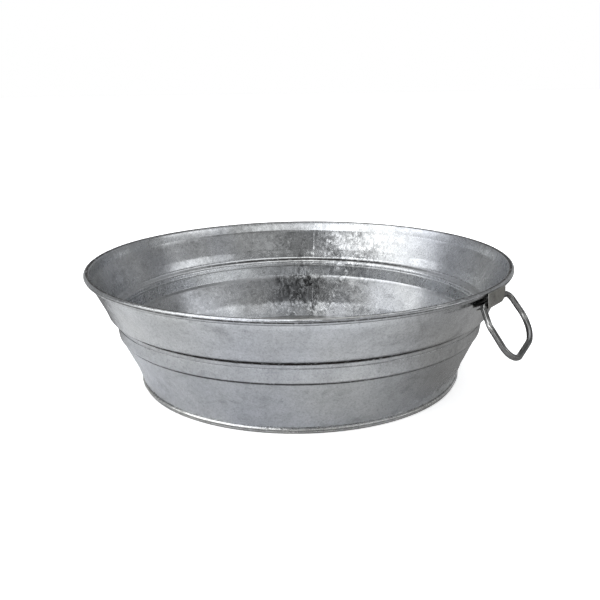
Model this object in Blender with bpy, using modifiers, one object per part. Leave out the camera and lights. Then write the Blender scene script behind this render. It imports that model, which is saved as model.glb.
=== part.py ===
"""Galvanised steel oil drain pan: a stepped conical sheet body with a wired rim, a double-seamed
bottom, a strap ear under the rim and one drop ring handle.

Metres, +Z up. The origin is on the pan's axis, on the surface that the pan stands on. The body's
lock seam is at the back, near +Y, and the ear is 37.2 degrees from +X towards -Y.
"""

from math import cos, pi, radians, sin, tan

import bpy
from mathutils import Matrix, Vector

MM = 0.001
ROUND_STEPS = 64  # facets round the pan

# Sheet and wire
SHEET = 0.65 * MM
EAR_SHEET = 0.8 * MM

# Overall size
RIM_RADIUS = 203.0 * MM
HEIGHT = 114.0 * MM

# Rolled rim: the wall's sheet goes over the wire from inside, round it and back under it
ROLL_RADIUS = 2.6 * MM
ROLL_CENTRE = (RIM_RADIUS - ROLL_RADIUS, HEIGHT - ROLL_RADIUS)
RIM_WIRE_RADIUS = 1.55 * MM
WALL_LEAN = radians(14.8)  # of the wall just under the rim, from the vertical
ROLL_END = radians(-136)  # where the sheet's free edge stops, seen from the wire

# Middle of the wall's sheet, from the foot up, as radius, height and corner radius
WALL_CORNERS = (
    (152.41 * MM, 1.3 * MM, 0),  # edge, inside the foot seam
    (159.7 * MM, 24.0 * MM, 0),  # slight knee above the foot
    (171.92 * MM, 50.17 * MM, 3.0 * MM),  # lower step, inner corner
    (173.89 * MM, 52.73 * MM, 2.5 * MM),  # lower step, outer corner
    (175.35 * MM, 64.2 * MM, 0),  # crease under the upper step
    (175.1 * MM, 65.0 * MM, 0),
    (175.5 * MM, 65.8 * MM, 0),
    (175.9 * MM, 68.99 * MM, 4.0 * MM),  # upper step, inner corner
    (182.13 * MM, 73.21 * MM, 4.0 * MM),  # upper step, outer corner
    (185.5 * MM, 82.13 * MM, 0),  # soft bulge above the upper step
    (195.99 * MM, 103.61 * MM, 0),  # crease under the rim
)

# Bottom sheet, middle line, from the centre of the floor to its edge outside the wall
BOTTOM_CORNERS = (
    (0, 8.5 * MM, 0),
    (153.65 * MM, 8.5 * MM, 1.8 * MM),  # floor to chuck wall
    (151.03 * MM, SHEET / 2, 0.45 * MM),  # the flat that the pan stands on
    (153.17 * MM, SHEET / 2, 0.45 * MM),
    (154.99 * MM, 6.0 * MM, 0),  # outer leaf of the seam
)

# Ear: a flat strap that hangs from the outside of the roll, goes under the ring's top bar and
# back to the wall. It is straight across, so that the straight bar can turn in it.
EAR_ANGLE = radians(-37.2)
EAR_SPAN = (-17.6 * MM, 16.0 * MM)  # across the ear, from the ear's angle
EAR_TOP = ((203.85 * MM, 112.4 * MM), (204.0 * MM, 110.4 * MM))
EAR_BEND_CENTRE = (200.5 * MM, 102.0 * MM)
EAR_BEND_RADIUS = 3.9 * MM
EAR_TAIL = ((198.4 * MM, 98.1 * MM), (194.1 * MM, 97.0 * MM))

# Ring handle
HINGE_RADIUS = 200.5 * MM
HINGE_HEIGHT = 102.1 * MM
RING_WIRE_RADIUS = 2.6 * MM
RING_TILT = radians(36.6)  # how far the ring stands out from hanging straight down

# The ring's corners in its own plane: along the ear, away from the hinge, corner radius
RING_CORNERS = (
    (-20.0 * MM, 0, 5.5 * MM),
    (31.3 * MM, 0, 7.7 * MM),
    (37.0 * MM, 40.4 * MM, 24.0 * MM),
    (-25.7 * MM, 52.3 * MM, 14.6 * MM),
    (-27.1 * MM, 16.0 * MM, 12.0 * MM),
)


def clear_scene():
    for obj in list(bpy.data.objects):
        bpy.data.objects.remove(obj, do_unlink=True)


def new_collection(name):
    collection = bpy.data.collections.new(name)
    bpy.context.scene.collection.children.link(collection)
    return collection


def zinc(name, colour, roughness):
    """Galvanised steel: a Principled material with its own colour and roughness."""
    material = bpy.data.materials.new(name)
    material.use_nodes = True
    shader = material.node_tree.nodes["Principled BSDF"]
    shader.inputs["Base Color"].default_value = (*colour, 1)
    shader.inputs["Metallic"].default_value = 1
    shader.inputs["Roughness"].default_value = roughness
    return material


def round_corner(before, corner, after, radius, facets):
    """Points of the arc that rounds one corner of an outline."""
    to_before = (Vector(before) - Vector(corner)).normalized()
    to_after = (Vector(after) - Vector(corner)).normalized()
    half = to_before.angle(to_after) / 2
    along = radius / tan(half)
    centre = Vector(corner) + (to_before + to_after).normalized() * (radius / sin(half))
    start = Vector(corner) + to_before * along - centre
    sweep = pi - 2 * half
    if to_before.x * to_after.y - to_before.y * to_after.x > 0:
        sweep = -sweep
    turns = (Matrix.Rotation(sweep * i / facets, 2) for i in range(facets + 1))
    return [tuple(centre + turn @ start) for turn in turns]


def outline(corners, facets):
    """An outline through (x, y, radius) corners, each rounded where its radius isn't 0."""
    points = []
    for i, (x, y, radius) in enumerate(corners):
        if radius == 0:
            points.append((x, y))
            continue
        before = corners[i - 1][:2]
        after = corners[(i + 1) % len(corners)][:2]
        points += round_corner(before, (x, y), after, radius, facets)
    return points


def arc(centre, radius, start, end, facets):
    """Points of an arc in the profile plane, from one angle to another."""
    angles = (start + (end - start) * i / facets for i in range(facets + 1))
    return [(centre[0] + radius * cos(a), centre[1] + radius * sin(a)) for a in angles]


def sheet_object(name, mesh, collection, material):
    obj = bpy.data.objects.new(name, mesh)
    obj.data.materials.append(material)
    collection.objects.link(obj)
    return obj


def thicken(obj, thickness):
    """Gives a surface a sheet's thickness, half of it on each side."""
    shell = obj.modifiers.new("sheet", "SOLIDIFY")
    shell.thickness = thickness
    shell.offset = 0
    shell.use_even_offset = True


def turned_sheet(name, profile, collection, material):
    """A sheet turned about +Z from the middle line of its section, a list of (radius, height)."""
    mesh = bpy.data.meshes.new(name)
    vertices = [(radius, 0, height) for radius, height in profile]
    edges = [(i, i + 1) for i in range(len(profile) - 1)]
    mesh.from_pydata(vertices, edges, [])
    obj = sheet_object(name, mesh, collection, material)
    turn = obj.modifiers.new("turn", "SCREW")
    turn.steps = turn.render_steps = ROUND_STEPS
    turn.use_merge_vertices = True
    turn.merge_threshold = 1e-6
    turn.use_smooth_shade = True
    thicken(obj, SHEET)
    return obj


def wall_profile():
    """The wall's middle line from its edge round the rim wire down to its edge in the seam."""
    mid_radius = ROLL_RADIUS - SHEET / 2
    over = arc(ROLL_CENTRE, mid_radius, pi - WALL_LEAN, pi / 2, 3)
    outside = arc(ROLL_CENTRE, mid_radius, pi / 2, -pi / 2, 6)
    under = arc(ROLL_CENTRE, mid_radius, -pi / 2, ROLL_END, 2)
    wall = outline((*WALL_CORNERS, (*over[0], 0)), facets=2)
    return (wall + over[1:] + outside[1:] + under[1:])[::-1]


def ear_profile():
    """The ear's middle line from the outside of the roll, under the ring's bar and to the wall."""
    bend = arc(EAR_BEND_CENTRE, EAR_BEND_RADIUS, radians(4), radians(-75), 9)
    return [*EAR_TOP, *bend, *EAR_TAIL]


def make_pan_body(collection):
    material = zinc("wall_zinc", (0.60, 0.61, 0.62), 0.38)
    return turned_sheet("pan_body", wall_profile(), collection, material)


def make_bottom_disc(collection):
    material = zinc("bottom_zinc", (0.56, 0.57, 0.58), 0.42)
    return turned_sheet("bottom_disc", outline(BOTTOM_CORNERS, facets=3), collection, material)


def make_rim_wire(collection):
    bpy.ops.mesh.primitive_torus_add(
        major_segments=ROUND_STEPS,
        minor_segments=8,
        major_radius=ROLL_CENTRE[0],
        minor_radius=RIM_WIRE_RADIUS,
        location=(0, 0, ROLL_CENTRE[1]),
    )
    wire = bpy.context.object
    wire.name = wire.data.name = "rim_wire"
    wire.data.materials.append(zinc("wire_steel", (0.42, 0.42, 0.43), 0.5))
    wire.users_collection[0].objects.unlink(wire)
    collection.objects.link(wire)
    wire.data.shade_smooth()
    return wire


def make_handle_ear(collection):
    """The strap: its profile, drawn straight across the ear's span."""
    profile = ear_profile()
    count = len(profile)
    mesh = bpy.data.meshes.new("handle_ear")
    vertices = [(radius, across, height) for across in EAR_SPAN for radius, height in profile]
    faces = [(i, i + 1, i + count + 1, i + count) for i in range(count - 1)]
    mesh.from_pydata(vertices, [], faces)
    ear = sheet_object("handle_ear", mesh, collection, zinc("ear_zinc", (0.52, 0.52, 0.51), 0.45))
    ear.rotation_euler.z = EAR_ANGLE
    thicken(ear, EAR_SHEET)
    return ear


def make_ring_handle(collection):
    """A bent wire link. Its hinge empty has X along the hinge and -Y away from it."""
    hinge = bpy.data.objects.new("ring_hinge", None)
    hinge.empty_display_size = 0.02
    out = Vector((cos(EAR_ANGLE), sin(EAR_ANGLE), 0))
    along = Vector((-sin(EAR_ANGLE), cos(EAR_ANGLE), 0))
    drop = out * sin(RING_TILT) - Vector((0, 0, cos(RING_TILT)))
    axes = Matrix((along, -drop, along.cross(-drop))).transposed()
    place = out * HINGE_RADIUS + Vector((0, 0, HINGE_HEIGHT))
    hinge.matrix_world = Matrix.Translation(place) @ axes.to_4x4()
    collection.objects.link(hinge)

    curve = bpy.data.curves.new("ring_handle", "CURVE")
    curve.dimensions = "3D"
    curve.bevel_depth = RING_WIRE_RADIUS
    curve.bevel_resolution = 4
    curve.materials.append(zinc("ring_zinc", (0.45, 0.45, 0.44), 0.4))
    points = outline(RING_CORNERS, facets=9)
    spline = curve.splines.new("POLY")
    spline.points.add(len(points) - 1)
    for target, (across, down) in zip(spline.points, points):
        target.co = (across, -down, 0, 1)
    spline.use_cyclic_u = True
    spline.use_smooth = True
    ring = bpy.data.objects.new("ring_handle", curve)
    ring.parent = hinge
    collection.objects.link(ring)
    return ring


def main():
    clear_scene()
    pan = new_collection("oil_drain_pan")
    make_pan_body(pan)
    make_bottom_disc(pan)
    make_rim_wire(pan)
    make_handle_ear(pan)
    make_ring_handle(pan)
    bpy.context.view_layer.update()


main()
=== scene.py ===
"""Looks of the galvanised oil drain pan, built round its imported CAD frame."""

from math import cos, hypot, pi, radians, sin, tan

import bmesh
import bpy
import numpy as np
from mathutils import Matrix, Vector, noise


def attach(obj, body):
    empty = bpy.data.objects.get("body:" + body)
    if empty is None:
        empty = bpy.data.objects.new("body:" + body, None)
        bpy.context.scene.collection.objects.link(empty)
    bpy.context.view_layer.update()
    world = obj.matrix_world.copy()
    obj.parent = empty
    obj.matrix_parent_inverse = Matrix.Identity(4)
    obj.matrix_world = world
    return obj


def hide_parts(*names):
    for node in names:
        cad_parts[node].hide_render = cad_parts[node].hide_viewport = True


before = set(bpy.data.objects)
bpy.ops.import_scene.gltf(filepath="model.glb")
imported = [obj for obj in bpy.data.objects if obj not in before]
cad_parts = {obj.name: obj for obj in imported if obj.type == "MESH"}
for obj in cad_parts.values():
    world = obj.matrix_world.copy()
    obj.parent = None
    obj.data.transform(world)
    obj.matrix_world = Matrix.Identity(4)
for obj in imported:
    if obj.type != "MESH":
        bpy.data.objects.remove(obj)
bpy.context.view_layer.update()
MM = 0.001

# The pan in millimetres: the CAD's corners, rounded more finely, as radius, height and rounding.
# The foot seam's outside has two beads that the CAD leaves out.
SHEET = 0.65
RIM_RADIUS = 203.0
HEIGHT = 114.0
ROLL_RADIUS = 2.6
ROLL_CENTRE = (RIM_RADIUS - ROLL_RADIUS, HEIGHT - ROLL_RADIUS)
WALL_LEAN = radians(14.8)
ROLL_END = radians(-136)
WALL_TOP_RADIUS = 199.0  # only the roll is outside it
WALL_CORNERS = (
    (152.41, 1.3, 0),
    (159.7, 24.0, 40.0),
    (171.92, 50.17, 2.2),
    (173.89, 52.73, 2.0),
    (175.35, 64.2, 1.0),
    (175.1, 65.0, 0.7),
    (175.5, 65.8, 1.0),
    (175.9, 68.99, 3.2),
    (182.13, 73.21, 3.2),
    (185.5, 82.13, 24.0),
    (195.99, 103.61, 7.0),
)
CENTRE_HOLE = 4.0  # in the turned bottom sheet, closed afterwards
BOTTOM_CORNERS = (
    (CENTRE_HOLE, 8.5, 0),
    (153.65, 8.5, 1.8),
    (151.03, SHEET / 2, 0.5),
    (153.35, SHEET / 2, 0.5),
    (154.2, 1.5, 0.45),  # lower bead of the seam
    (153.95, 2.5, 0.45),
    (155.35, 3.8, 0.4),  # upper bead
    (155.45, 4.4, 0.4),
    (154.45, 5.3, 0),
)

# Directions round the pan
FRONT = -pi / 2 - 0.12
SEAM_ANGLE = radians(86.5)
EAR_ANGLE = radians(-37.2)

# Strap and ring, as the CAD has them. The strap's lower part is narrower here, at its far end.
EAR_OUT = Vector((cos(EAR_ANGLE), sin(EAR_ANGLE), 0))
EAR_ALONG = Vector((-sin(EAR_ANGLE), cos(EAR_ANGLE), 0))
EAR_SPAN = (-17.6, 16.0)
EAR_NARROWING = 4.5
EAR_TOP = ((203.85, 112.4), (204.0, 110.4))
EAR_BEND_CENTRE = (200.5, 102.0)
EAR_BEND_RADIUS = 3.9
EAR_TAIL = ((198.4, 98.1), (194.1, 97.0))
EAR_SHEET = 0.8
HINGE = (200.5, 102.1)
RING_TILT = radians(36.6)
RING_WIRE_RADIUS = 2.6
RING_CORNERS = (
    (-20.0, 0, 5.5),
    (31.3, 0, 7.7),
    (37.0, 40.4, 24.0),
    (-25.7, 52.3, 14.6),
    (-27.1, 16.0, 12.0),
)
HIGHLIGHT_SPOTS = ((-26.8, 15.5), (34.6, 25.0))  # painted highlights on the ring, in its own plane

# Facets round the pan and round the ring's wire
WALL_STEPS = 540
BOTTOM_STEPS = 360
RING_FACETS = 20

# The wall's dark lines are part flux and part painted shade.
# Dark lines in the wall's corners, as height, half width, strength and the bell's power
OUTER_LINES = ((70.35, 1.95, 1.5, 4), (51.3, 1.05, 1.2, 4), (65.0, 0.55, 0.42, 4))
INNER_LINES = ((71.1, 1.15, 1.0, 4), (50.6, 0.8, 0.35, 2), (65.0, 0.6, 0.25, 2))


# ---------------------------------------------------------------- outlines and meshes


def rounded(before, corner, after, radius, facets):
    """Points of the arc that rounds one corner of an outline."""
    to_before = (Vector(before) - Vector(corner)).normalized()
    to_after = (Vector(after) - Vector(corner)).normalized()
    half = to_before.angle(to_after) / 2
    along = radius / tan(half)
    centre = Vector(corner) + (to_before + to_after).normalized() * (radius / sin(half))
    start = Vector(corner) + to_before * along - centre
    sweep = pi - 2 * half
    if to_before.x * to_after.y - to_before.y * to_after.x > 0:
        sweep = -sweep
    turns = (Matrix.Rotation(sweep * i / facets, 2) for i in range(facets + 1))
    return [tuple(centre + turn @ start) for turn in turns]


def outline(corners, facets=6):
    """An outline through (x, y, radius) corners, each rounded where its radius isn't 0."""
    points = []
    for i, (x, y, radius) in enumerate(corners):
        if radius == 0:
            points.append((x, y))
            continue
        after = corners[(i + 1) % len(corners)][:2]
        points += rounded(corners[i - 1][:2], (x, y), after, radius, facets)
    return points


def arc(centre, radius, start, end, facets):
    angles = np.linspace(start, end, facets + 1)
    return [(centre[0] + radius * cos(a), centre[1] + radius * sin(a)) for a in angles]


def even_steps(points, longest):
    """Splits the long stretches of a line, so that it can carry fine dents."""
    out = [points[0]]
    for a, b in zip(points, points[1:]):
        dx, dy = b[0] - a[0], b[1] - a[1]
        n = max(1, int(np.ceil(hypot(dx, dy) / longest)))
        out += [(a[0] + dx * k / n, a[1] + dy * k / n) for k in range(1, n + 1)]
    return np.array(out)


def sheet_section(middle, thickness):
    """Closed section of a sheet: out along one side of its middle line and back along the other,
    with half-round edges. Returns the points and, for each, its place on the middle line and the
    side that it is on, 1 outside, -1 inside and 0 at the edges."""
    step = np.gradient(middle, axis=0)
    step /= np.linalg.norm(step, axis=1)[:, None]
    normal = np.stack([step[:, 1], -step[:, 0]], axis=1)
    half = thickness / 2
    right = middle + normal * half
    left = middle - normal * half
    count = len(middle)
    cap = np.linspace(pi / 2, -pi / 2, 5)[1:-1]
    end = [middle[-1] + half * (step[-1] * cos(a) + normal[-1] * sin(a)) for a in cap]
    start = [middle[0] - half * (step[0] * cos(a) + normal[0] * sin(a)) for a in cap]
    points = np.concatenate([right, end, left[::-1], start])
    along = np.arange(count)
    place = np.concatenate([along, [count - 1] * len(cap), along[::-1], [0] * len(cap)])
    edge = [0] * len(cap)
    side = np.concatenate([np.ones(count), edge, -np.ones(count), edge])
    return points, place.astype(int), side


def mesh_object(name, vertices, faces, material, body="pan"):
    mesh = bpy.data.meshes.new(name)
    mesh.from_pydata([tuple(v) for v in vertices], [], [tuple(f) for f in faces])
    mesh.validate()
    mesh.shade_smooth()
    obj = bpy.data.objects.new(name, mesh)
    obj.data.materials.append(material)
    bpy.context.scene.collection.objects.link(obj)
    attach(obj, body)
    return obj


def grid_faces(rows, columns, wrap_rows=True, wrap_columns=True):
    """Quads of a grid of vertices, row by row."""
    a = np.arange(rows if wrap_rows else rows - 1)
    b = np.arange(columns if wrap_columns else columns - 1)
    i, j = [m.ravel() for m in np.meshgrid(a, b, indexing="ij")]
    i2, j2 = (i + 1) % rows, (j + 1) % columns
    corners = [i * columns + j, i * columns + j2, i2 * columns + j2, i2 * columns + j]
    return np.stack(corners, axis=1)


def turned(name, section, place, offsets, angles, material):
    """A section turned about Z, each middle-line point moved by offsets[step, place] = (r, z)."""
    r = section[None, :, 0] + offsets[:, place, 0]
    z = section[None, :, 1] + offsets[:, place, 1]
    vertices = np.stack([r * np.cos(angles)[:, None], r * np.sin(angles)[:, None], z], axis=2)
    faces = grid_faces(len(angles), len(section))
    return mesh_object(name, vertices.reshape(-1, 3) * MM, faces, material)


def outward(obj):
    """Turns an object's faces outward."""
    bm = bmesh.new()
    bm.from_mesh(obj.data)
    bmesh.ops.recalc_face_normals(bm, faces=bm.faces)
    bm.to_mesh(obj.data)
    bm.free()


def paint(obj, name, values):
    """Gives each vertex a number, which the material reads."""
    attribute = obj.data.attributes.new(name, "FLOAT", "POINT")
    attribute.data.foreach_set("value", np.asarray(values, np.float32).ravel())


# ---------------------------------------------------------------- fades and noise


def smoothstep(x, lo, hi):
    t = np.clip((x - lo) / (hi - lo), 0, 1)
    return t * t * (3 - 2 * t)


def bell(x, centre, width, power=2):
    """1 at the centre and 0 far away, with a flatter top and steeper sides at power 4."""
    return np.exp(-(((x - centre) / width) ** power))


def field(points, size, seed):
    """Smooth noise from -1 to 1, with features about size across."""
    shift = Vector((seed * 13.7, seed * 7.1, seed * 3.3))
    return np.array([noise.noise(Vector(p) / size + shift) for p in points])


def round_angles(steps):
    return np.arange(steps) * 2 * pi / steps


def turn_from(angles, centre):
    """Signed angle from a direction, from -pi to pi."""
    return (angles - centre + pi) % (2 * pi) - pi


def around(angles, centre, width, power=2):
    """A bell round the pan, from one direction."""
    return bell(turn_from(angles, centre), 0, width, power)


def middle_positions(middle, angles):
    """Where each point of a middle line is at each angle, as a flat list of points."""
    r, z = middle[:, 0], middle[:, 1]
    x, y = np.outer(np.cos(angles), r), np.outer(np.sin(angles), r)
    return np.stack([x, y, np.ones_like(x) * z], axis=2).reshape(-1, 3)


# ---------------------------------------------------------------- materials


class Nodes:
    """Short spelling for the node tree of a material or a world."""

    def __init__(self, owner):
        owner.use_nodes = True
        self.tree = owner.node_tree
        self.shader = self.tree.nodes.get("Principled BSDF")

    def add(self, kind, **values):
        node = self.tree.nodes.new(kind)
        for key, value in values.items():
            setattr(node, key, value)
        return node

    def link(self, source, target):
        self.tree.links.new(source, target)

    def put(self, socket, value):
        if isinstance(value, bpy.types.NodeSocket):
            self.link(value, socket)
        else:
            socket.default_value = value

    def math(self, operation, a, b=0.0, clamp=False):
        node = self.add("ShaderNodeMath", operation=operation, use_clamp=clamp)
        self.put(node.inputs[0], a)
        self.put(node.inputs[1], b)
        return node.outputs[0]

    def product(self, first, *others):
        for other in others:
            first = self.math("MULTIPLY", first, other)
        return first

    def ramp(self, value, *stops):
        """Maps a value through straight stretches between (position, level) stops."""
        node = self.add("ShaderNodeValToRGB")
        elements = node.color_ramp.elements
        while len(elements) < len(stops):
            elements.new(0.5)
        for element, (position, level) in zip(elements, stops):
            element.position = position
            element.color = (level, level, level, 1)
        self.link(value, node.inputs[0])
        return node.outputs[0]

    def fade(self, value, nothing, full):
        """0 at nothing, 1 at full, smooth between."""
        low, high = sorted((nothing, full))
        node = self.add("ShaderNodeMapRange", interpolation_type="SMOOTHSTEP")
        self.link(value, node.inputs["Value"])
        node.inputs["From Min"].default_value = low
        node.inputs["From Max"].default_value = high
        node.inputs["To Min"].default_value = float(full < nothing)
        node.inputs["To Max"].default_value = float(full > nothing)
        return node.outputs[0]

    def mix(self, factor, a, b, blend="MIX"):
        node = self.add("ShaderNodeMix", data_type="RGBA", blend_type=blend)
        self.put(node.inputs["Factor"], factor)
        for socket, value in ((node.inputs[6], a), (node.inputs[7], b)):
            self.put(socket, value if isinstance(value, bpy.types.NodeSocket) else (*value, 1))
        return node.outputs[2]

    def grey(self, level):
        """A grey of a level, to multiply a colour by."""
        node = self.add("ShaderNodeCombineColor")
        for socket in node.inputs:
            self.link(level, socket)
        return node.outputs[0]

    def level(self, colour):
        """The brightness of a colour."""
        node = self.add("ShaderNodeRGBToBW")
        self.link(colour, node.inputs[0])
        return node.outputs[0]

    def place(self, stretch=(1, 1, 1), turn=0.0):
        """The object's own coordinates, stretched and shifted."""
        coords = self.add("ShaderNodeTexCoord")
        mapping = self.add("ShaderNodeMapping")
        mapping.inputs["Scale"].default_value = stretch
        mapping.inputs["Location"].default_value = (turn, turn * 0.7, turn * 0.3)
        self.link(coords.outputs["Object"], mapping.inputs["Vector"])
        return mapping.outputs["Vector"]

    def noise_node(self, at, scale, detail, roughness, distortion=0.0):
        node = self.add("ShaderNodeTexNoise")
        node.inputs["Scale"].default_value = scale
        node.inputs["Detail"].default_value = detail
        node.inputs["Roughness"].default_value = roughness
        node.inputs["Distortion"].default_value = distortion
        self.link(at, node.inputs["Vector"])
        return node

    def noise(self, at, scale, detail, roughness, distortion=0.0):
        return self.noise_node(at, scale, detail, roughness, distortion).outputs[0]

    def crystals(self, scale, vector):
        """A random colour for each zinc crystal."""
        node = self.add("ShaderNodeTexVoronoi")
        node.inputs["Scale"].default_value = scale
        self.link(vector, node.inputs["Vector"])
        return node.outputs["Color"]

    def feathered(self, at):
        """Coordinates with ragged edges, for the crystals."""
        warp = self.noise_node(at, 140, 4, 0.65).outputs["Color"]
        node = self.add("ShaderNodeMix", data_type="VECTOR")
        node.inputs["Factor"].default_value = 0.014
        self.link(at, node.inputs[4])
        self.link(warp, node.inputs[5])
        return node.outputs[1]

    def vector(self, operation, a, b=(0, 0, 0)):
        node = self.add("ShaderNodeVectorMath", operation=operation)
        self.put(node.inputs[0], a)
        self.put(node.inputs[1], b)
        return node.outputs[0]

    def tilted(self, fine, coarse, amount):
        """The surface normal, leaning by up to an amount, differently on each crystal."""
        middle = (0.5, 0.5, 0.5)
        fine = self.vector("SUBTRACT", fine, middle)
        coarse = self.vector("SUBTRACT", coarse, middle)
        scaled = self.add("ShaderNodeVectorMath", operation="SCALE")
        self.link(self.vector("ADD", fine, coarse), scaled.inputs[0])
        self.put(scaled.inputs[3], amount)
        normal = self.add("ShaderNodeNewGeometry").outputs["Normal"]
        return self.vector("NORMALIZE", self.vector("ADD", normal, scaled.outputs[0]))

    def attribute(self, name):
        return self.add("ShaderNodeAttribute", attribute_name=name).outputs["Fac"]


def zinc_tone(n, at, seed, clouds, blotches, runs, cells):
    """How bright the zinc is from place to place, round 1."""
    smudges = n.noise(n.place((1, 1, 1.8), seed + 11), 34, 5, 0.7, 1.2)
    return n.product(
        n.ramp(clouds, (0.3, 0.88), (0.5, 1.0), (0.7, 1.06)),
        n.ramp(blotches, (0.3, 0.90), (0.5, 1.0), (0.7, 1.06)),
        n.ramp(runs, (0.3, 0.96), (0.55, 1.0), (0.75, 1.03)),
        n.ramp(n.level(cells), (0.2, 0.97), (0.8, 1.03)),
        n.ramp(n.noise(at, 620, 3, 0.75, 0.6), (0.34, 0.76), (0.5, 1.0), (0.68, 1.12)),
        n.ramp(smudges, (0.30, 0.72), (0.46, 1.0)),
    )


def mottling(n, seed):
    """Dark and bright flecks, part spangle and part painted reflection, where painted with inner.
    """
    patches = n.noise(n.place((1, 1, 0.7), seed + 7), 22, 4, 0.6, 0.7)
    flecks = n.noise(n.place((1, 1, 0.5), seed + 9), 240, 4, 0.7, 1.0)
    mottle_strength = n.product(n.attribute("inner"), n.ramp(patches, (0.42, 0.0), (0.56, 1.0)))
    fleck = n.ramp(flecks, (0.40, 0.34), (0.50, 0.75), (0.60, 1.7))
    return n.math("ADD", n.product(mottle_strength, n.math("SUBTRACT", fleck, 1.0)), 1.0)


def zinc(name, colour=(0.458, 0.463, 0.475), rough=0.13, uneven=1.0, painted=False, seed=0.0):
    """Hot-dipped zinc: feathery crystals, cloudy patches, runs and pits.

    A painted piece's vertices also say where it is mottled, part with painted reflections (inner),
    smoother (calm), brighter or darker with painted light and shade (shade) and darkened by flux
    and painted shade (crease)."""
    material = bpy.data.materials.new(name)
    n = Nodes(material)
    at = n.place(turn=seed)
    ragged = n.feathered(at)
    cells = n.crystals(330, ragged)
    plates = n.crystals(170, ragged)
    clouds = n.noise(at, 16, 4, 0.6, 0.4)
    blotches = n.noise(at, 70, 5, 0.65, 0.8)
    runs = n.noise(n.place((1, 1, 0.14), seed + 3), 130, 3, 0.6, 0.3)
    grain = n.noise(at, 900, 2, 0.5)

    tone = zinc_tone(n, at, seed, clouds, blotches, runs, cells)
    # Mottling: part zinc spangle, part painted reflections.
    if painted:
        tone = n.product(tone, mottling(n, seed))
    cold = n.ramp(n.noise(at, 9, 2, 0.5), (0.35, 0.0), (0.65, 1.0))
    tint = n.mix(cold, (0.98, 0.995, 1.03), (1.01, 1.01, 0.98))
    metal = n.mix(1.0, n.mix(1.0, colour, n.grey(tone), "MULTIPLY"), tint, "MULTIPLY")
    roughness = n.math("ADD", n.ramp(blotches, (0.3, 0.10 * uneven), (0.7, 0.0)), rough)
    roughness = n.math("ADD", roughness, n.ramp(n.level(cells), (0.2, 0.0), (0.8, 0.05)))
    height = n.math("ADD", n.product(blotches, 0.5), n.product(runs, 0.2))
    height = n.math("ADD", height, n.product(grain, 0.02))
    lean = 0.075 * uneven
    if painted:
        # Painted light and shade from the vertices.
        metal = n.mix(1.0, metal, n.grey(n.math("ADD", n.attribute("shade"), 1.0)), "MULTIPLY")
        # Flux and painted shade in the creases, near black.
        broken = n.ramp(n.noise(at, 260, 3, 0.7, 0.5), (0.34, 0.55), (0.46, 1.0))
        crease = n.math("MULTIPLY", n.attribute("crease"), broken, clamp=True)
        metal = n.mix(crease, metal, (0.014, 0.011, 0.009))
        calm = n.attribute("calm")
        roughness = n.math("ADD", roughness, n.product(calm, 0.07))
        roughness = n.math("ADD", roughness, n.product(crease, 0.6))
        lively = n.math("SUBTRACT", 1.0, n.product(calm, 0.75))
        height = n.product(height, lively)
        lean = n.product(lively, lean)
    bump = n.add("ShaderNodeBump")
    bump.inputs["Strength"].default_value = 0.5 * uneven
    bump.inputs["Distance"].default_value = 0.0008
    n.link(height, bump.inputs["Height"])
    n.link(n.tilted(cells, plates, lean), bump.inputs["Normal"])
    n.link(metal, n.shader.inputs["Base Color"])
    n.link(n.math("MAXIMUM", roughness, 0.12), n.shader.inputs["Roughness"])
    n.link(bump.outputs[0], n.shader.inputs["Normal"])
    n.shader.inputs["Metallic"].default_value = 1.0
    return material


WALL_ZINC = zinc("wall_zinc_look", painted=True)
BOTTOM_ZINC = zinc(
    "bottom_zinc_look", colour=(0.46, 0.455, 0.44), rough=0.18, painted=True, seed=1.3
)
EAR_ZINC = zinc("ear_zinc_look", colour=(0.34, 0.332, 0.312), rough=0.24, seed=2.1)
RING_ZINC = zinc(
    "ring_zinc_look", colour=(0.19, 0.187, 0.18), rough=0.16, uneven=0.6, painted=True, seed=4.2
)
WIRE_STEEL = zinc("wire_steel_look", colour=(0.30, 0.30, 0.30), rough=0.4, seed=5.0)


# ---------------------------------------------------------------- wall and rolled rim


def wall_middle():
    """The wall's middle line, from its edge in the foot up and round the rim wire."""
    radius = ROLL_RADIUS - SHEET / 2
    roll = arc(ROLL_CENTRE, radius, pi - WALL_LEAN, ROLL_END, 40)
    wall = outline((*WALL_CORNERS, (*roll[0], 0)))
    return even_steps(wall + roll[1:], 2.2)


def wall_angles():
    """Even steps round the wall, with close ones where the lock seam shows inside."""
    near = [-2.3, -2.1, -1.9, -0.5, -0.14, -0.07, 0.0, 0.07, 0.14, 0.4]
    near = SEAM_ANGLE + np.radians(near)
    angles = np.sort(np.concatenate([round_angles(WALL_STEPS), near]))
    return angles[np.append(np.diff(angles) > radians(0.03), True)]


def wall_dents(middle, angles):
    """How far each point of the wall's middle line is off true: out of round, wavy and dented."""
    flat = middle_positions(middle, angles)
    shape = (len(angles), len(middle))
    z = middle[:, 1]
    free = smoothstep(z, 8, 30)
    at_rim = smoothstep(z, 100, 110)
    wide = field(flat, 70, 1).reshape(shape)
    small = field(flat, 22, 2).reshape(shape)
    out_of_round = 0.35 * np.sin(2 * angles + 0.6) + 0.2 * np.sin(3 * angles + 2.0)
    out_of_round -= 0.35 * np.cos(2 * angles) + 0.6
    r = free * (0.28 * wide + 0.07 * small) + np.outer(out_of_round, at_rim)
    from_seam = np.degrees(turn_from(angles, SEAM_ANGLE))
    fold = smoothstep(from_seam, -2.3, -1.9) * (1 - smoothstep(from_seam, -0.5, 0.14))
    r += np.outer(0.16 * fold, free * (1 - smoothstep(z, 98, 103)))
    sway = 0.20 * np.sin(2 * angles + 1.1) + 0.12 * np.sin(5 * angles) + 0.3 * np.sin(angles)
    lift = at_rim * ((sway - 0.57)[:, None] + 0.08 * field(flat, 35, 3).reshape(shape))
    return np.stack([r, lift], axis=2)


def level_lines(z, rows):
    return sum(strength * bell(z, at, width, power) for at, width, strength, power in rows)


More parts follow.
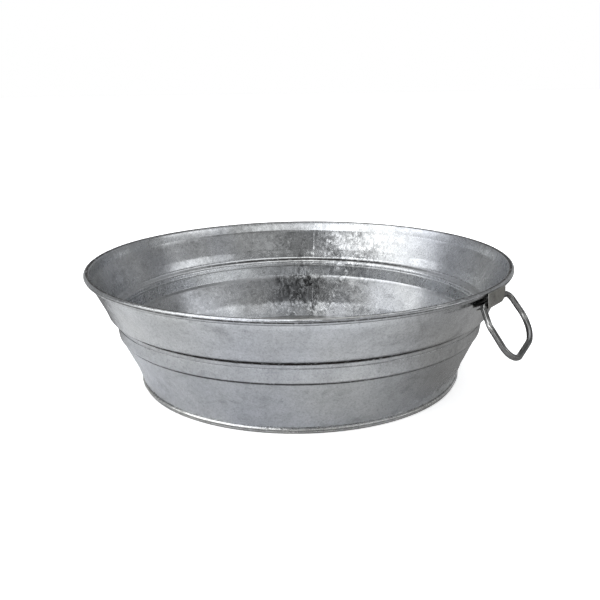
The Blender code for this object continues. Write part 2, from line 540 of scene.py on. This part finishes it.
def wall_lines(angles, z, outer, inner):
    """Flux and painted shade in the wall's corners, darkest at the front outside and back inside.
    """
    at_front = 0.25 + 0.75 * around(angles, FRONT, 0.8)
    outside = np.outer(at_front, level_lines(z, OUTER_LINES))
    # Painted shade just above the foot seam.
    over_foot = 0.25 * bell(z, 6.6, 0.5, 4)
    at_back = 0.45 + 0.5 * around(angles, radians(84), 0.75, 4)
    inside = np.outer(at_back, level_lines(z, INNER_LINES))
    # Painted shade under the rim, inside at the left back.
    left_back = smoothstep(angles, radians(86), radians(96))
    left_back *= 1 - smoothstep(angles, radians(120), radians(140))
    under_rim = 0.5 * bell(z, 103.3, 0.8, 4)
    inside += np.outer(left_back, under_rim)
    seam = 0.12 * bell(np.degrees(turn_from(angles, SEAM_ANGLE)), 0, 0.15)
    inside += np.outer(seam, (z > 9) & (z < 103))
    return (outside + over_foot) * outer + inside * inner


def rim_lines(angles, section):
    """Dark lines painted along the roll: reflections over its top and round its outside, shade
    underneath.
    """
    from_wire = section - ROLL_CENTRE
    round_wire = np.degrees(np.arctan2(from_wire[:, 1], from_wire[:, 0]))
    on_roll = np.hypot(from_wire[:, 0], from_wire[:, 1]) > ROLL_RADIUS - 0.1
    on_roll &= from_wire[:, 1] > -ROLL_RADIUS - 0.2
    top = smoothstep(round_wire, 64, 80) * (1 - smoothstep(round_wire, 122, 150))
    below = bell(round_wire, 6, 15) + 0.8 * bell(round_wire, -58, 20)
    strength = 0.45 + 0.55 * around(angles, FRONT, 0.8)
    return (0.9 * top + np.outer(strength, below)) * on_roll


def wall_shade(angles, z, outer, inner):
    """Painted light and shade: how much brighter or darker than usual the wall's zinc is painted.
    """
    below_steps = 1 - smoothstep(z, 49, 51.5)
    between_steps = smoothstep(z, 52, 54) * (1 - smoothstep(z, 67, 69))
    above_steps = smoothstep(z, 72, 75)
    under_rim = smoothstep(z, 102, 104)
    # Painted reflections: darker in the middle of the inside's back, brighter at its right back.
    back = around(angles, radians(82), 0.42, 4)
    right_back = around(angles, radians(62), 0.35, 4)
    outside = 0.08 * below_steps - 0.15 * between_steps
    inside = 0.36 * between_steps + 0.03 * under_rim
    inside = inside - np.outer(back, 0.42 * below_steps + 0.55 * between_steps)
    inside = inside + np.outer(right_back, 0.15 * above_steps)
    return outside * outer + inside * inner


def make_wall():
    middle = wall_middle()
    section, place, side = sheet_section(middle, SHEET)
    angles = wall_angles()
    wall = turned("wall_sheet", section, place, wall_dents(middle, angles), angles, WALL_ZINC)
    z = middle[place, 1]
    outer = side >= 0
    inner = ~outer & (middle[place, 0] < WALL_TOP_RADIUS)
    # Dark lines: part flux, part painted shade and painted reflections.
    crease = wall_lines(angles, z, outer, inner) + rim_lines(angles, section)
    paint(wall, "crease", np.clip(crease, 0, 1))
    # Mottling at the back inside: part spangle, part painted reflections.
    mottled = around(angles, SEAM_ANGLE - 0.03, 0.45, 4)
    under_rim = smoothstep(z, 100, 104)
    mottle_strength = 1.3 - 0.55 * smoothstep(z, 51, 54) + 0.25 * smoothstep(z, 70, 74) - 0.7 * under_rim
    paint(wall, "inner", np.outer(mottled, mottle_strength * inner))
    paint(wall, "calm", (1 - np.outer(0.75 * mottled, 1 - 0.7 * under_rim)) * inner)
    # Painted light and shade.
    paint(wall, "shade", wall_shade(angles, z, outer, inner))
    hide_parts("pan_body")


def make_lock_seam():
    """The fold that joins the wall's two ends, standing proud of the outside at the back."""
    middle = wall_middle()
    middle = middle[(middle[:, 1] > 9) & (middle[:, 1] < 104) & (middle[:, 0] < 197.5)]
    across = np.radians([-2.2, -2.2, -2.05, -1.8, -0.4, -0.15, 0.0, 0.0]) + SEAM_ANGLE
    proud = (0.3, 1.0, 1.3, 1.4, 1.4, 1.3, 1.0, 0.3)
    vertices = []
    for r, z in middle:
        wave = 0.06 * noise.noise(Vector((0, 0, z / 9)))
        for angle, height in zip(across, proud):
            out = r + height + wave
            vertices.append((out * cos(angle) * MM, out * sin(angle) * MM, z * MM))
    faces = [tuple(f) for f in grid_faces(len(middle), len(across), False, True)]
    last = (len(middle) - 1) * len(across)
    faces += [tuple(range(len(across))), tuple(last + i for i in reversed(range(len(across))))]
    seam = mesh_object("lock_seam", vertices, faces, WALL_ZINC)
    outward(seam)


# ---------------------------------------------------------------- bottom and foot seam


def make_bottom():
    """The bottom sheet, with its edge folded up outside the wall in two beads."""
    line = even_steps(outline(BOTTOM_CORNERS, 8), 4.0)
    section, place, _ = sheet_section(line, SHEET)
    angles = round_angles(BOTTOM_STEPS)
    flat = middle_positions(line, angles)
    shape = (BOTTOM_STEPS, len(line))
    r, z = line[:, 0], line[:, 1]
    sag = 0.5 * field(flat, 110, 6).reshape(shape) + 0.12 * field(flat, 35, 7).reshape(shape)
    lift = (1 - smoothstep(r, 135, 150)) * sag * smoothstep(r, CENTRE_HOLE, 30)
    leaf = smoothstep(z, 2, 5) * (r > 154)
    wobble = 0.12 * field(flat, 16, 8).reshape(shape) * leaf
    offsets = np.stack([wobble * 0.4, lift + wobble], axis=2)
    bottom = turned("bottom_sheet", section, place, offsets, angles, BOTTOM_ZINC)

    r, z = section[:, 0], section[:, 1]
    # Painted shade under the beads, a painted highlight along the upper bead and a painted
    # reflection near the sheet's edge inside.
    under_beads_shade = (0.75 * bell(z, 3.1, 0.5, 4) + 0.7 * bell(z, 0.7, 0.45, 4)) * (r > 153.3)
    top_bead_highlight = 0.7 * bell(z, 5.1, 0.6, 4) * (r > 154)
    floor_edge_highlight = 0.75 * smoothstep(r, 128, 145) * (r < 153.9) * (z > 6)
    paint(bottom, "crease", np.tile(under_beads_shade, BOTTOM_STEPS))
    paint(bottom, "calm", np.tile(1.0 * (r < 152), BOTTOM_STEPS))
    paint(bottom, "shade", np.tile(top_bead_highlight + floor_edge_highlight, BOTTOM_STEPS))
    close_centre(bottom)
    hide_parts("bottom_disc")


def close_centre(obj):
    """Replaces the small hole's rounded lip in the middle of the sheet with two flat fans."""
    bm = bmesh.new()
    bm.from_mesh(obj.data)
    lip = [v for v in bm.verts if hypot(v.co.x, v.co.y) < (CENTRE_HOLE - 0.01) * MM]
    bmesh.ops.delete(bm, geom=lip, context="VERTS")
    loops = [e for e in bm.edges if e.is_boundary]
    bmesh.ops.holes_fill(bm, edges=loops, sides=0)
    bmesh.ops.triangulate(bm, faces=[f for f in bm.faces if len(f.verts) > 4])
    bmesh.ops.recalc_face_normals(bm, faces=bm.faces)
    bm.to_mesh(obj.data)
    bm.free()
    obj.data.shade_smooth()


# ---------------------------------------------------------------- ear and ring


def make_ear():
    """The strap, straight across, hanging from the outside of the roll and under the ring's bar."""
    bend = arc(EAR_BEND_CENTRE, EAR_BEND_RADIUS, radians(4), radians(-75), 24)
    line = even_steps([*EAR_TOP, *bend, *EAR_TAIL], 0.8)
    across = np.linspace(*EAR_SPAN, 34)
    far = smoothstep(across, 4, EAR_SPAN[1])
    low = 1 - smoothstep(line[:, 1], 98.5, 108)
    vertices = []
    for u, at_far in zip(across, far):
        for (r, z), at_low in zip(line, low):
            u_cut = u - EAR_NARROWING * at_far * at_low
            vertices.append((EAR_OUT * r + EAR_ALONG * u_cut + Vector((0, 0, z))) * MM)
    faces = grid_faces(len(across), len(line), False, False)
    ear = mesh_object("ear_strap", vertices, faces, EAR_ZINC)
    thick = ear.modifiers.new("thick", "SOLIDIFY")
    thick.thickness = EAR_SHEET * MM
    thick.offset = 0
    thick.use_even_offset = True
    soften = ear.modifiers.new("soften", "BEVEL")
    soften.width = 0.22 * MM
    soften.segments = 2
    soften.limit_method = "ANGLE"
    soften.angle_limit = radians(50)
    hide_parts("handle_ear")


def make_ring():
    """The crooked wire ring, slightly uneven under its zinc."""
    points = outline(RING_CORNERS, 20)
    path = even_steps(points + points[:1], 1.2)[:-1]
    away = EAR_OUT * sin(RING_TILT) - Vector((0, 0, cos(RING_TILT)))
    across = EAR_ALONG.cross(away)
    hinge = EAR_OUT * HINGE[0] + Vector((0, 0, HINGE[1]))
    step = np.roll(path, -1, axis=0) - np.roll(path, 1, axis=0)
    step /= np.linalg.norm(step, axis=1)[:, None]
    vertices = []
    for (u, v), (du, dv) in zip(path, step):
        centre = hinge + EAR_ALONG * u + away * v
        side = (EAR_ALONG * dv - away * du).normalized()
        for angle in round_angles(RING_FACETS):
            push = side * cos(angle) + across * sin(angle)
            bumps = noise.noise((centre + push * RING_WIRE_RADIUS) / 6)
            vertices.append((centre + push * (RING_WIRE_RADIUS - 0.05 + 0.05 * bumps)) * MM)
    faces = grid_faces(len(path), RING_FACETS)
    ring = mesh_object("ring_link", vertices, faces, RING_ZINC, "ring")
    # Painted highlights at the ring's bends.
    highlights = sum(np.exp(-(((path - spot) / 3.2) ** 2).sum(axis=1)) for spot in HIGHLIGHT_SPOTS)
    paint(ring, "shade", np.repeat(1.9 * highlights, RING_FACETS))
    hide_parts("ring_handle")


def dress_wire():
    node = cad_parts["rim_wire"]
    node.data.materials.clear()
    node.data.materials.append(WIRE_STEEL)


# ---------------------------------------------------------------- studio

# Floor, flag and camera, in metres
FLOOR_WHITE = 0.93
FLOOR_LIFT = 0.62  # the floor's own light, which only the camera sees
FLAG_RADII = (0.162, 3.0)
FLAG_HEIGHT = 0.0006
CAMERA_AIM = Vector((0.0008, 0, 0.0707))
CAMERA_DISTANCE = 0.767
CAMERA_ELEVATION = radians(15.76)
CAMERA_ROLL = radians(-0.79)
CAMERA_LENS = 46.74  # millimetres, on a 36 mm sensor

# Light all round, and a round patch overhead: direction, where it is full and where it ends, in
# degrees from there, and radiance
WORLD_BASE = 0.26
OVERHEAD = ((0.0, 0.25, 1.0), 14, 40, 2.1)

# Soft panels round the pan, in degrees: azimuth of the middle (from the front, positive to the
# right), half width, soft edge, lowest and highest elevation, soft edge; and radiance
PANELS = (
    (-68, 37, 8, 36, 62, 3, 2.6),
    (-80, 18, 12, 27, 36, 3, 1.6),
    (-58, 34, 16, 9, 23, 3, 2.5),
    (0, 28, 18, 11, 22, 3, 1.9),
    (70, 16, 14, 12, 25, 2.5, 2.1),
    (44, 20, 18, 37, 60, 4, 0.55),
    (180, 60, 30, 2, 26, 6, 0.2),
    (73, 18, 14, -5, 5, 3, 1.3),
    (-76, 20, 14, -5, 5, 3, 1.1),
)


def make_floor():
    """A plain white floor."""
    bpy.ops.mesh.primitive_plane_add(size=30)
    floor = bpy.context.object
    floor.name = "floor"
    material = bpy.data.materials.new("floor_white")
    n = Nodes(material)
    cloud = n.noise(n.place(), 3, 2, 0.55)
    tone = n.ramp(cloud, (0.3, FLOOR_WHITE * 0.995), (0.7, FLOOR_WHITE))
    n.link(tone, n.shader.inputs["Base Color"])
    n.shader.inputs["Roughness"].default_value = 0.9
    seen = n.add("ShaderNodeLightPath").outputs["Is Camera Ray"]
    n.link(n.product(seen, FLOOR_LIFT), n.shader.inputs["Emission Strength"])
    n.shader.inputs["Emission Color"].default_value = (1, 1, 1, 1)
    floor.data.materials.append(material)


def make_flag():
    """A flag: a dark glowing card on the floor at the right and behind, seen only in the metal,
    where it stands in for the floor's shade.
    """
    angles = round_angles(72)
    points = [(r * cos(a), r * sin(a), FLAG_HEIGHT) for a in angles for r in FLAG_RADII]
    mesh = bpy.data.meshes.new("flag")
    mesh.from_pydata(points, [], [tuple(f) for f in grid_faces(len(angles), 2, True, False)])
    material = bpy.data.materials.new("flag_dark")
    n = Nodes(material)
    spot = n.add("ShaderNodeSeparateXYZ")
    n.link(n.place(), spot.inputs[0])
    x, y, _ = spot.outputs
    turn = n.math("ARCTAN2", y, x)
    right = n.product(n.fade(turn, radians(-70), radians(-25)), n.fade(x, -0.1, 0.1))
    behind = n.fade(y, -0.05, 0.13)
    away = n.math("SQRT", n.math("ADD", n.math("POWER", x, 2), n.math("POWER", y, 2)))
    level = n.math("ADD", n.product(n.fade(away, 0.17, 0.25), 0.22), 0.27)
    level = n.math("ADD", level, n.product(n.fade(away, 0.6, 1.5), 0.5))
    level = n.product(level, n.math("SUBTRACT", 1.0, n.product(behind, 0.55)))
    glow = n.add("ShaderNodeEmission")
    n.link(level, glow.inputs["Strength"])
    clear = n.add("ShaderNodeBsdfTransparent")
    mix = n.add("ShaderNodeMixShader")
    n.link(n.math("MAXIMUM", right, behind), mix.inputs[0])
    n.link(clear.outputs[0], mix.inputs[1])
    n.link(glow.outputs[0], mix.inputs[2])
    n.link(mix.outputs[0], n.tree.nodes["Material Output"].inputs[0])
    flag = bpy.data.objects.new("flag", mesh)
    flag.data.materials.append(material)
    bpy.context.scene.collection.objects.link(flag)
    flag.visible_camera = flag.visible_diffuse = flag.visible_shadow = False


def overhead_light(n, way):
    direction, inner, outer, gain = OVERHEAD
    dot = n.add("ShaderNodeVectorMath", operation="DOT_PRODUCT")
    n.link(way, dot.inputs[0])
    dot.inputs[1].default_value = Vector(direction).normalized()
    return n.product(n.fade(dot.outputs["Value"], cos(radians(outer)), cos(radians(inner))), gain)


def panel_light(n, x, y, flat, elevation, panel):
    middle, half, soft, low, high, edge, gain = panel
    forward = n.product(y, -cos(radians(middle)))
    along = n.math("ADD", n.product(x, sin(radians(middle))), forward)
    off = n.math("ARCCOSINE", n.math("DIVIDE", along, flat))
    return n.product(
        n.fade(off, radians(half + soft), radians(half)),
        n.fade(elevation, radians(low - edge), radians(low + edge)),
        n.fade(elevation, radians(high + edge), radians(high - edge)),
        gain,
    )


def make_world():
    """White behind the object; round it a dim studio with soft panels and a bright ceiling."""
    world = bpy.data.worlds.new("studio")
    bpy.context.scene.world = world
    n = Nodes(world)
    way = n.add("ShaderNodeTexCoord").outputs["Generated"]
    parts = n.add("ShaderNodeSeparateXYZ")
    n.link(way, parts.inputs[0])
    x, y, z = parts.outputs
    elevation = n.math("ARCSINE", z)
    flat = n.math("SQRT", n.math("ADD", n.product(x, x), n.product(y, y)))
    level = n.math("ADD", overhead_light(n, way), WORLD_BASE)
    for panel in PANELS:
        level = n.math("ADD", level, panel_light(n, x, y, flat, elevation, panel))

    seen = n.tree.nodes["Background"]
    seen.inputs[0].default_value = (1, 1, 1, 1)
    around_pan = n.add("ShaderNodeBackground")
    around_pan.inputs[0].default_value = (0.965, 0.98, 1.0, 1)
    n.link(level, around_pan.inputs[1])
    mix = n.add("ShaderNodeMixShader")
    path = n.add("ShaderNodeLightPath")
    n.link(path.outputs["Is Camera Ray"], mix.inputs[0])
    n.link(around_pan.outputs[0], mix.inputs[1])
    n.link(seen.outputs[0], mix.inputs[2])
    n.link(mix.outputs[0], n.tree.nodes["World Output"].inputs[0])


def make_camera():
    camera = bpy.data.cameras.new("camera")
    camera.sensor_width = 36
    camera.lens = CAMERA_LENS
    camera.clip_start = 0.01
    obj = bpy.data.objects.new("camera", camera)
    back = Vector((0, -cos(CAMERA_ELEVATION), sin(CAMERA_ELEVATION)))
    obj.location = CAMERA_AIM + back * CAMERA_DISTANCE
    level = (-back).to_track_quat("-Z", "Y")
    obj.rotation_mode = "QUATERNION"
    obj.rotation_quaternion = level @ Matrix.Rotation(CAMERA_ROLL, 3, "Z").to_quaternion()
    bpy.context.scene.collection.objects.link(obj)
    bpy.context.scene.camera = obj


make_wall()
make_lock_seam()
make_bottom()
make_ear()
make_ring()
dress_wire()
make_camera()
make_world()
make_floor()
make_flag()
bpy.context.scene.view_settings.view_transform = "Standard"
